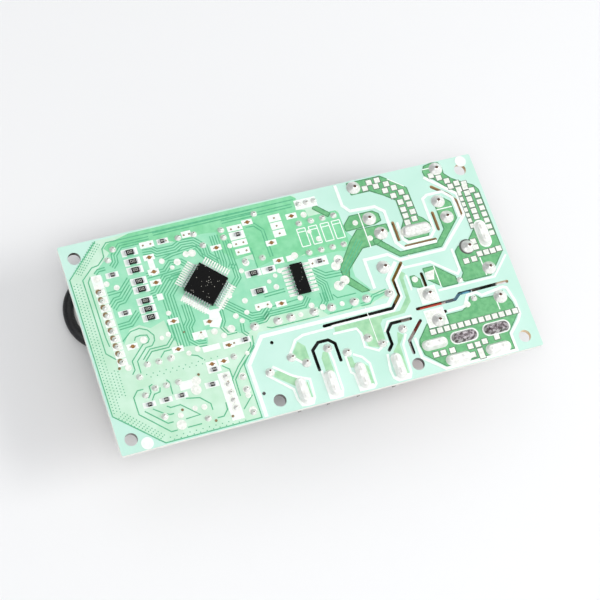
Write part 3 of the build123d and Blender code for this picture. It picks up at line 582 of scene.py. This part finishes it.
fields = [
    plate(7.0, 51.2, 10.1, 55.6), plate(34.4, 1.8, 38.2, 16.8), plate(51.8, 54.3, 56.6, 56.3),
    plate(51.8, 56.6, 56.6, 59.2), plate(51.8, 59.5, 56.6, 61.3), plate(52.0, 51.5, 56.5, 53.5),
    plate(65.3, 54.3, 69.2, 56.6), plate(65.3, 56.9, 69.2, 59.2), plate(65.3, 59.5, 69.2, 61.8),
    plate(57.8, 43.6, 62.3, 45.9), plate(74.9, 61.5, 82.0, 64.7), plate(73.0, 42.0, 79.0, 45.0),
    plate(71.0, 59.2, 74.4, 60.9),
    plate(29.6, 60.6, 33.2, 62.4), plate(37.6, 60.9, 40.6, 63.0), plate(24.2, 60.6, 28.6, 62.6),
    plate(32.6, 24.2, 38.0, 26.0), plate(39.0, 24.0, 47.6, 25.9), plate(52.2, 33.2, 57.2, 35.0),
    plate(11.6, 41.1, 15.6, 42.9), plate(11.5, 53.7, 15.4, 55.5),
    plate(10.3, 12.1, 14.2, 13.8), plate(15.4, 12.2, 19.3, 13.9), plate(20.2, 12.3, 24.1, 14.0),
    plate(29.8, 13.2, 34.1, 15.0), plate(32.0, 17.5, 36.1, 19.3), plate(22.4, 14.6, 28.0, 17.2),
    plate(25.0, 51.4, 26.8, 56.6), plate(24.4, 43.4, 26.2, 45.4), plate(31.0, 28.6, 35.4, 31.0),
    plate(103.0, 22.0, 109.0, 27.4), plate(102.5, 14.1, 109.0, 19.9), plate(66.6, 45.8, 69.0, 47.6),
    disc(8.2, 1.9, 1.85, 28), disc(132.3, 65.1, 1.85, 28),
    plate(56.0, 0.9, 60.2, 2.6), plate(65.6, 0.9, 69.4, 2.4), plate(75.2, 0.9, 79.4, 2.0),
    plate(86.6, 0.9, 91.6, 2.2),
]
header_pitch = 2.5
for number in range(10):
    fields.append(plate(6.9, 26.3 + header_pitch * number, 9.9, 28.5 + header_pitch * number))
resistor_places = [(20.6, y) for y in (60.3, 57.2, 54.4, 50.7, 48.0, 44.2, 41.5, 38.8)]
resistor_places += [(55.1, 44.7), (55.0, 38.7)]
for x, y in resistor_places:
    fields += [plate(x - 2.5, y - 1.05, x - 1.0, y + 1.05), plate(x + 1.0, y - 1.05, x + 2.5, y + 1.05)]
    fields += [ribbon([(x - 2.5, y + 1.15), (x + 2.5, y + 1.15)], 0.22)]
for x in (74.15, 78.0, 81.9, 85.65):
    outline = [(x - 1.35, 49.3), (x - 1.35, 55.3), (x + 1.35, 55.3), (x + 1.35, 49.3)]
    for one, other in zip(outline, outline[1:] + outline[:1]):
        fields.append(ribbon([one, other], 0.32))
    fields.append(ribbon([(x - 1.35, 54.2), (x + 1.35, 54.2)], 0.3))
printed("white_print", [ribbon(line, width) for line, width in borders] + fields,
        FACE, PRINT_TOP, white_ink)
printed("chip_print", [
    ribbon([(31.6, 42.6), (38.4, 35.8)], 1.5), ribbon([(41.0, 35.8), (47.4, 42.2)], 0.7),
    [(38.2, 36.6), (36.9, 31.6), (39.6, 30.6), (41.2, 33.0), (41.0, 36.6)],
], FACE, PRINT_TOP, white_ink)

# ---- Tinned lands ---------------------------------------------------------------------------
# Copper left open in the mask. The wave has covered it with a thin crown of tin: the chips'
# long lands, the squares that thicken the mains copper, and the pads of unfitted parts.
# A few test pads have kept a plain brown finish.
CHIP_LAND_TOP = FACE + 0.100
SQUARE_EDGE_TOP = FACE + 0.105
PAD_PRINT_TOP = FACE + 0.115
SQUARE_TOP = FACE + 0.120
LAND_TOP = FACE + 0.130
TEST_PAD_TOP = FACE + 0.140
FLUX_AND_SHADE_TOP = FACE + 0.150
RESIDUE_TOP = FACE + 0.170


def turned(outline, x, y, angle):
    """The outline turned about the origin and moved to its place."""
    c, s = math.cos(math.radians(angle)), math.sin(math.radians(angle))
    return [(x + u * c - v * s, y + u * s + v * c) for u, v in outline]


tin_land = finish("tinned_land", (228, 232, 222), (254, 255, 248), 0.32, metallic=0.3, grain=1300,
                  relief=0.00001)
control_pitch, driver_pitch = 0.8, 1.27
chip_lands = []
for side in range(4):
    for pin in range(11):
        middle = (pin - 5) * control_pitch
        land = plate(5.9, middle - 0.24, 8.3, middle + 0.24)
        chip_lands.append(turned(land, 39.7, 44.6, 45 + 90 * side))
for side in (0, 180):
    for pin in range(8):
        middle = (pin - 3.5) * driver_pitch
        land = plate(2.3, middle - 0.42, 4.8, middle + 0.42)
        chip_lands.append(turned(land, 68.4, 39.4, side))
printed("chip_lands", chip_lands, FACE, CHIP_LAND_TOP, tin_land)

squares = []
for x, y in [
    (100.5, 65.0), (103.3, 65.2), (98.6, 63.4), (102.3, 63.3), (105.8, 63.3), (104.7, 61.2), (107.8, 61.5),
    (106.7, 58.9), (109.6, 59.5), (108.2, 56.3), (110.6, 57.3), (108.2, 53.7), (110.8, 55.0),
    (108.2, 51.5), (110.9, 52.3), (108.0, 49.2), (110.6, 49.9), (121.0, 62.6), (123.3, 61.3),
    (125.5, 59.7), (126.0, 57.6), (128.3, 58.2), (130.7, 57.5), (128.3, 56.0), (126.5, 38.0),
    (126.6, 36.0), (121.9, 32.3), (124.6, 32.4), (127.0, 33.6), (129.3, 33.6), (131.5, 33.6),
    (133.7, 33.8), (101.5, 5.6), (104.0, 5.6), (107.0, 5.6), (113.0, 5.4), (115.5, 5.4), (118.0, 5.8),
    (122.3, 6.2), (112.8, 2.6), (115.6, 3.2), (115.6, 1.6), (132.4, 54.8),
]:
    squares.append(plate(x - 0.9, y - 0.85, x + 0.9, y + 0.85))
for row in range(6):
    squares.append(plate(129.6, 44.9 + 2.1 * row, 131.4, 46.6 + 2.1 * row))
for row in range(7):
    squares.append(plate(132.6, 38.6 + 2.2 * row, 134.3, 40.2 + 2.2 * row))
    squares.append(plate(127.4, 42.4 + 1.9 * row, 128.6, 43.8 + 1.9 * row))
for column in range(13):
    squares.append(plate(102.3 + 2.33 * column, 11.9, 104.1 + 2.33 * column, 13.6))
printed("tinned_squares", squares, FACE, SQUARE_TOP, tin_land)
# Painted shade: a dark green rim round each tinned square, a little wider to the right and below, stands
# for the shadow gap at its edge.
gap_shade_green = finish("painted_gap_shade", (70, 96, 76), (88, 116, 92), 0.5, grain=1200)
edges = []
for square in squares:
    left, right = min(x for x, y in square) - 0.16, max(x for x, y in square) + 0.22
    low, high = min(y for x, y in square) - 0.22, max(y for x, y in square) + 0.16
    edges.append(plate(left, low, right, high))
printed("tinned_square_edges", edges, FACE, SQUARE_EDGE_TOP, gap_shade_green)

lands = [
    [(107.4, 31.8), (110.8, 32.2), (109.6, 29.0), (107.2, 29.4)], plate(103.4, 22.3, 108.6, 26.9),
    plate(102.9, 14.6, 108.6, 19.4),
]
for number in range(5):
    lands.append(disc(36.6, 5.4 + header_pitch * number, 1.3))
for number in range(10):
    lands.append(disc(8.5, 27.35 + header_pitch * number, 1.15))
for x, y, radius in [
    (29.2, 55.3, 0.9), (33.7, 53.9, 1.1), (31.7, 52.6, 0.7), (37.0, 55.7, 1.0), (38.9, 55.6, 1.2),
    (50.9, 55.1, 0.8), (51.8, 46.4, 0.8), (54.0, 48.6, 1.1), (49.8, 36.9, 0.9), (49.2, 33.2, 0.8),
    (53.0, 33.6, 0.9), (56.6, 33.6, 0.9), (60.6, 38.8, 0.9), (61.4, 42.4, 0.7), (59.0, 41.0, 0.7),
    (69.4, 47.2, 1.1), (76.6, 59.5, 1.0), (76.5, 53.7, 0.7), (78.6, 50.7, 0.9), (16.5, 32.5, 1.1),
    (26.2, 38.8, 0.8), (24.1, 32.4, 0.8), (37.8, 29.8, 1.0), (40.2, 27.9, 0.9), (43.0, 29.4, 1.2),
    (47.0, 31.0, 0.8), (33.4, 29.6, 0.8), (69.2, 30.4, 0.9), (66.6, 33.6, 0.9), (61.3, 28.4, 0.9),
    (65.0, 28.4, 0.8), (78.6, 28.6, 0.8), (83.2, 28.4, 0.9), (91.6, 53.0, 0.9), (94.5, 47.0, 0.9),
    (11.0, 52.2, 0.9), (13.6, 50.4, 0.9), (13.4, 31.0, 0.5), (15.5, 8.3, 1.1), (24.8, 8.4, 0.8),
    (31.2, 25.8, 0.9), (28.3, 25.2, 0.8), (82.3, 42.7, 1.5), (80.8, 40.8, 1.5), (82.0, 35.7, 1.5),
    (79.6, 34.4, 1.6), (103.6, 30.5, 1.0), (19.5, 4.6, 1.5), (20.1, 7.4, 0.9), (27.8, 16.4, 1.4),
    (26.9, 13.8, 1.6), (27.6, 8.1, 0.9), (33.7, 29.1, 0.8), (8.6, 54.4, 1.1), (8.3, 51.6, 1.1),
    (21.9, 31.8, 0.7), (22.9, 25.2, 1.0), (45.8, 39.4, 0.7), (45.6, 32.9, 0.9), (25.4, 53.1, 0.8),
    (63.2, 43.6, 0.8), (72.4, 29.0, 1.0), (41.6, 14.2, 1.2), (41.5, 10.0, 1.2), (41.3, 3.4, 1.2),
    (9.6, 25.4, 1.0), (45.2, 20.8, 0.7), (41.4, 8.2, 0.9), (117.0, 18.6, 1.0), (104.5, 38.4, 0.4),
]:
    lands.append(disc(x, y, radius))
printed("open_lands", lands, FACE, LAND_TOP, tin_land)

copper_brown = finish("bare_copper", (122, 84, 44), (176, 132, 78), 0.4, metallic=0.6, grain=2200)
white_lands, test_pads = [], []
for x, y in [
    (25.4, 49.1), (26.8, 36.0), (12.7, 31.4), (25.5, 27.2), (37.2, 33.2), (46.6, 55.5), (58.5, 61.3),
    (63.7, 53.0), (60.3, 33.3), (64.0, 46.8), (72.6, 60.0), (33.8, 20.2), (37.5, 20.2), (25.8, 52.6),
    (25.8, 57.4), (40.6, 24.6),
]:
    white_lands.append(plate(x - 1.7, y - 0.9, x + 1.7, y + 0.9))
    test_pads.append(disc(x + 0.1, y, 0.6))
    test_pads.append(plate(x - 0.9, y - 0.16, x + 1.0, y + 0.16))
printed("test_pad_print", white_lands, FACE, PAD_PRINT_TOP, white_ink)
printed("test_pads", test_pads, FACE, TEST_PAD_TOP, copper_brown)

flux_and_shade_brown = finish("flux_residue", (104, 84, 50), (156, 134, 92), 0.35, grain=1800)
# The brown discs at the wiring header sit up and to the left of each joint: painted shade, a dark crescent
# beside each joint. The smaller marks elsewhere are flux residue.
flux_and_shade = []
for number in range(10):
    flux_and_shade.append(disc(7.9, 27.85 + header_pitch * number, 0.85))
for x, y in [(7.0, 25.8), (21.1, 8.9), (29.7, 3.2), (34.9, 3.2), (29.0, 18.1)]:
    flux_and_shade.append(disc(x, y, 0.42))
for x, y in [
    (53.0, 55.2), (55.4, 55.3), (53.0, 60.3), (55.5, 60.4), (67.3, 55.4), (67.2, 58.0), (67.2, 60.7),
    (25.2, 61.6), (27.6, 61.6), (30.4, 61.5), (32.4, 61.5), (38.3, 61.9), (40.0, 61.9), (52.9, 52.5),
    (55.5, 52.5), (53.2, 34.0), (56.2, 34.1), (40.0, 24.9), (42.4, 24.9), (75.8, 63.0), (78.4, 63.1),
    (81.0, 63.1), (28.9, 32.0), (33.8, 30.6), (36.9, 13.8), (36.9, 11.0), (36.9, 7.4), (36.9, 5.0),
    (74.0, 43.4), (77.8, 43.4),
]:
    flux_and_shade.append(turned(plate(-0.34, -0.3, 0.22, 0.2), x, y, 20))
printed("flux_residue", flux_and_shade, FACE, FLUX_AND_SHADE_TOP, flux_and_shade_brown)

burnt_grey = finish("burnt_flux", (58, 64, 60), (104, 106, 100), 0.4, grain=2600)
rim_reach, rim_radius = 2.6, 2.1
pale_rims = []
for x, y, angle in [(130.4, 39.8, 90), (112.3, 9.0, 0), (123.2, 9.0, 0)]:
    for end in (-rim_reach, rim_reach):
        pale_rims.append(turned(disc(end, 0, rim_radius), x, y, angle))
    pale_rims.append(turned(plate(-rim_reach, -rim_radius, rim_reach, rim_radius), x, y, angle))
printed("joint_rims", pale_rims, FACE, RESIDUE_TOP, white_ink)
printed("burnt_flux", [disc(123.75, 36.85, 2.5)], FACE, RESIDUE_TOP, burnt_grey)

# ---- Solder joints --------------------------------------------------------------------------
# Bright wave-soldered joints: a concave fillet climbs from each tinned land to the clipped
# end of its lead. Each is a little different, and the largest lean the way the wave left them.


def solder(name):
    """Bright solder with a faint grain."""
    return finish(name, (230, 230, 224), (255, 255, 252), 0.22, metallic=0.4, grain=1500, relief=0.000012)


def clipped_ends(made):
    """Darkens the level top of each joint, where the clipped end of its lead shows."""
    tree = made.node_tree
    facing = axes_of(tree, tree.nodes.new("ShaderNodeNewGeometry").outputs["Normal"])
    level = reckon(tree, "GREATER_THAN", facing["Z"], 0.93)
    high = reckon(tree, "GREATER_THAN", axes_of(tree, place_on(tree))["Z"], 0.0276)
    on_end = reckon(tree, "MULTIPLY", level, high)
    recolour(tree, tinted(tree, on_end, own_tone(tree), srgb(96, 72, 60)))
    return made


solder_bright = clipped_ends(solder("bright_solder"))
solder_plain = solder("contact_solder")
dice = random.Random(11)


def islands(node):
    """Lowest and highest corner of each separate solid in a CAD node, in metres."""
    mesh = bmesh.new()
    mesh.from_mesh(bpy.data.objects[node].data)
    bmesh.ops.remove_doubles(mesh, verts=mesh.verts, dist=0.000001)
    mesh.verts.index_update()
    seen, found = set(), []
    for start in mesh.verts:
        if start.index in seen:
            continue
        stack, corners = [start], []
        seen.add(start.index)
        while stack:
            corner = stack.pop()
            corners.append(corner.co.copy())
            for edge in corner.link_edges:
                other = edge.other_vert(corner)
                if other.index not in seen:
                    seen.add(other.index)
                    stack.append(other)
        low = Vector([min(c[k] for c in corners) for k in range(3)])
        high = Vector([max(c[k] for c in corners) for k in range(3)])
        found.append((low, high))
    mesh.free()
    return sorted(found, key=lambda pair: (round(pair[0].x, 5), round(pair[0].y, 5)))


# Share of the land's radius and share of the joint's height, from the foot up.
FILLET = [(1.0, 0.0), (0.98, 0.06), (0.90, 0.20), (0.76, 0.36), (0.60, 0.52), (0.48, 0.68), (0.38, 0.82),
          (0.28, 0.92), (0.14, 0.985), (0.04, 1.0)]
MOUND = [(1.0, 0.0), (0.97, 0.14), (0.88, 0.42), (0.74, 0.72), (0.60, 0.92), (0.40, 1.0), (0.10, 0.88)]


def fillets(name, nodes, sides=20):
    """Rounded solder in the room of each solid of the nodes."""
    mesh = bmesh.new()
    for node in nodes:
        for low, high in islands(node):
            middle, half = (low + high) / 2, (high - low) / 2
            lean = (dice.uniform(-0.16, 0.16), dice.uniform(-0.16, 0.16))
            wave = dice.uniform(0, math.tau)
            rings = []
            small, stretch = min(half.x, half.y), (max(half.x - half.y, 0), max(half.y - half.x, 0))
            oval = max(stretch) > small
            for reach, climb in MOUND if oval else FILLET:
                z = low.z + (high.z - low.z) * climb
                ring = []
                for i in range(sides):
                    angle = math.tau * (i + 0.5) / sides
                    along, across = math.cos(angle), math.sin(angle)
                    uneven = 1 - 0.05 * climb * (1 + math.sin(2 * angle + wave)) if reach < 1 else 1
                    shift = 0 if oval else climb
                    ring.append(mesh.verts.new((
                        middle.x + math.copysign(stretch[0], along)
                        + small * (reach * uneven * along + lean[0] * shift),
                        middle.y + math.copysign(stretch[1], across)
                        + small * (reach * uneven * across + lean[1] * shift), z)))
                rings.append(ring)
            for lower, upper in zip(rings, rings[1:]):
                for i in range(sides):
                    k = (i + 1) % sides
                    side = mesh.faces.new((lower[i], lower[k], upper[k], upper[i]))
                    side.smooth, side.material_index = True, int(oval)
            mesh.faces.new(rings[-1]).material_index = int(oval)
            mesh.faces.new(rings[0][::-1])
    made = bpy.data.meshes.new(name)
    mesh.to_mesh(made)
    mesh.free()
    made.materials.append(solder_bright)
    made.materials.append(solder_plain)
    shape = bpy.data.objects.new(name, made)
    bpy.context.scene.collection.objects.link(shape)
    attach(shape, "root")
    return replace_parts(shape, *nodes)


fillets("lead_solder", ["lead_joints"])
fillets("header_solder", ["header_joints"])
fillets("relay_solder", ["power_joints"], 28)

# ---- Chips ----------------------------------------------------------------------------------
# A square 44-lead control chip set at 45 degrees and a narrow 16-lead driver, both moulded in
# black epoxy with tinned leads. Fine dust and dried flux specks lie on them.


def dusted(made):
    """Adds sparse pale specks to a dark finish."""
    tree = made.node_tree
    cells = tree.nodes.new("ShaderNodeTexVoronoi")
    cells.inputs["Scale"].default_value = 1500
    tree.links.new(place_on(tree), cells.inputs["Vector"])
    near_middle = reckon(tree, "LESS_THAN", cells.outputs["Distance"], 0.15)
    chosen = reckon(tree, "GREATER_THAN", axes_of(tree, cells.outputs["Color"])["X"], 0.45)
    speck = reckon(tree, "MULTIPLY", near_middle, chosen)
    recolour(tree, tinted(tree, speck, own_tone(tree), srgb(210, 208, 196)))
    return made


chip_epoxy = finish("moulded_epoxy", (5, 5, 6), (15, 15, 15), 0.6, grain=2200, relief=0.00002, gloss=0.12)
dusted(chip_epoxy)
tin_bright = finish("tinned_lead", (176, 180, 184), (226, 228, 230), 0.3, metallic=0.9, grain=2400)
for chip in ("microcontroller", "driver_chip"):
    dress(f"{chip}_body", chip_epoxy)
    dress(f"{chip}_leads", tin_bright)

# ---- Chip resistors -------------------------------------------------------------------------
# Small ceramic blocks with black glaze and plated ends, soldered flat between their lands.
# Two pale open squares are printed on each as a plain mark.
glaze = finish("resistor_glaze", (8, 8, 9), (20, 20, 20), 0.4, gloss=0.2, grain=2600)
mark_ink = finish("resistor_mark", (176, 176, 168), (214, 214, 206), 0.6, grain=2400)
dress("chip_resistor_bodies", glaze)
dress("chip_resistor_ends", tin_bright)
half_line = 0.06
marks = {}
for low, high in islands("chip_resistor_bodies"):
    x, y = (low.x + high.x) * 500 + BOARD_LENGTH / 2, (low.y + high.y) * 500 + BOARD_WIDTH / 2
    size = 0.26 if high.x - low.x > 0.0015 else 0.15
    tall = 1.3 * size
    outlines = marks.setdefault(round(high.z * 1000, 3), [])
    for middle in (x - 1.6 * size, x + 1.6 * size):
        for side in (-1, 1):
            bar_x, bar_y = middle + side * size, y + side * tall
            outlines.append(plate(middle - size, bar_y - half_line, middle + size, bar_y + half_line))
            outlines.append(plate(bar_x - half_line, y - tall, bar_x + half_line, y + tall))
for number, (top, outlines) in enumerate(sorted(marks.items()), 1):
    printed(f"resistor_marks_{number}", outlines, top - 0.05, top + 0.01, mark_ink)

# ---- Relays ---------------------------------------------------------------------------------
# Two main relays on brown phenolic bases and four small channel relays on black ones. Their
# plastic cases hang under the board on the contact and coil pins.
case_black = finish("relay_case", (12, 13, 14), (22, 23, 25), 0.42, gloss=0.3, grain=800, relief=0.00003)
base_black = finish("relay_base", (14, 15, 16), (26, 28, 30), 0.55, grain=1200, relief=0.00003)
base_tan = finish("relay_base_phenolic", (150, 122, 78), (178, 150, 104), 0.55, grain=1200, relief=0.00003)
for kind, count, base in (("main", 2, base_tan), ("channel", 4, base_black)):
    for number in range(1, count + 1):
        dress(f"{kind}_relay_case_{number}", case_black)
        dress(f"{kind}_relay_base_{number}", base)
dress("relay_pins", tin_bright)

# ---- Capacitors -----------------------------------------------------------------------------
# Three electrolytic cans in dark shrink sleeves and three film parts in moulded boxes, one
# yellow across the mains and two red.
can_sleeve = finish("can_sleeve", (20, 24, 34), (34, 40, 54), 0.35, grain=500)
film_yellow = finish("film_box", (172, 132, 46), (190, 150, 58), 0.42, grain=700, relief=0.00003)
# Painted light: the snubber's red is lighter than the part's own, to make up for the shade it lies in under
# the board.
snubber_red_painted_light = finish("snubber_box_painted_light", (240, 92, 72), (250, 110, 90), 0.42, grain=700, relief=0.00003)
signal_red = finish("signal_box", (188, 60, 44), (206, 78, 58), 0.42, grain=900, relief=0.00003)
for can in ("main_capacitor", "filter_capacitor", "timing_capacitor"):
    dress(can, can_sleeve)
dress("film_capacitor", film_yellow)
dress("snubber_capacitor", snubber_red_painted_light)
dress("signal_capacitor", signal_red)

# ---- Discs ----------------------------------------------------------------------------------
# Pressed ceramic discs dipped in lacquer: the blue varistor and the black thermistor stand on
# edge by the mains input.
# Painted light: the varistor's blue is lighter than the part's own, to make up for the shade it lies in
# under the board.
varistor_blue_painted_light = finish("blue_lacquer_painted_light", (118, 204, 240), (140, 214, 246), 0.3, grain=900, relief=0.00005,
                   coat=0.3)
disc_black = finish("black_lacquer", (18, 20, 20), (34, 38, 38), 0.34, grain=900, relief=0.00005, coat=0.3)
dress("varistor", varistor_blue_painted_light)
dress("thermistor", disc_black)

# ---- Diodes, resistors and regulator --------------------------------------------------------
# Moulded rectifiers, lacquered axial resistors and bare wire links lie along the component
# side. The regulator stands on its three leads with its plated tab behind it.
diode_black = finish("diode_body", (26, 26, 28), (40, 40, 42), 0.42, grain=2000)
resistor_blue = finish("resistor_body", (86, 150, 176), (112, 174, 196), 0.45, grain=1800, relief=0.00003)
for number in range(1, 5):
    dress(f"rectifier_{number}", diode_black)
dress("axial_resistors", resistor_blue)
dress("regulator_body", chip_epoxy)
for metal in ("regulator_tab", "component_leads", "wire_links"):
    dress(metal, tin_bright)

# ---- Headers --------------------------------------------------------------------------------
# Natural nylon shells with tinned square pins, ten for the front panel's wiring and five for
# the switches.
nylon = finish("header_nylon", (226, 222, 206), (242, 240, 228), 0.5, grain=1000, relief=0.00002)
dress("panel_header", nylon)
dress("switch_header", nylon)
dress("header_pins", tin_bright)

# ---- Blade terminals ------------------------------------------------------------------------
# Eight tinned brass blades for push-on connectors, and the bar that joins the mains pair. Each
# is soldered in two slots. The pair's own joints have run hot and gone dull.
# Painted shade: the tinned brass is toned darker than bright tin, for the shade the blades hang in under
# the board.
brass_tin_painted_shade = finish("tinned_brass_painted_shade", (128, 125, 120), (166, 162, 154), 0.38, metallic=0.85, grain=900)
blade_solder = finish("tab_solder", (236, 236, 230), (255, 255, 252), 0.34, metallic=0.12, grain=700,
                      relief=0.000008)


def overheated(made, x, y, reach_x, reach_y):
    """A dull crust round a place given in metres."""
    tree = made.node_tree
    place = axes_of(tree, place_on(tree))
    off_x = reckon(tree, "ABSOLUTE", reckon(tree, "SUBTRACT", place["X"], x))
    off_y = reckon(tree, "ABSOLUTE", reckon(tree, "SUBTRACT", place["Y"], y))
    near = reckon(tree, "MULTIPLY", reckon(tree, "LESS_THAN", off_x, reach_x),
                  reckon(tree, "LESS_THAN", off_y, reach_y))
    crust = speckle(tree, 1100, (84, 72, 76), (206, 198, 202), 0.42, 0.66)
    recolour(tree, tinted(tree, near, own_tone(tree), crust))
    return made


dress("tab_joints", overheated(blade_solder, 0.0499, -0.0245, 0.0106, 0.003))
for number in range(1, 9):
    dress(f"tab_terminal_{number}", brass_tin_painted_shade)
dress("power_bar", brass_tin_painted_shade)
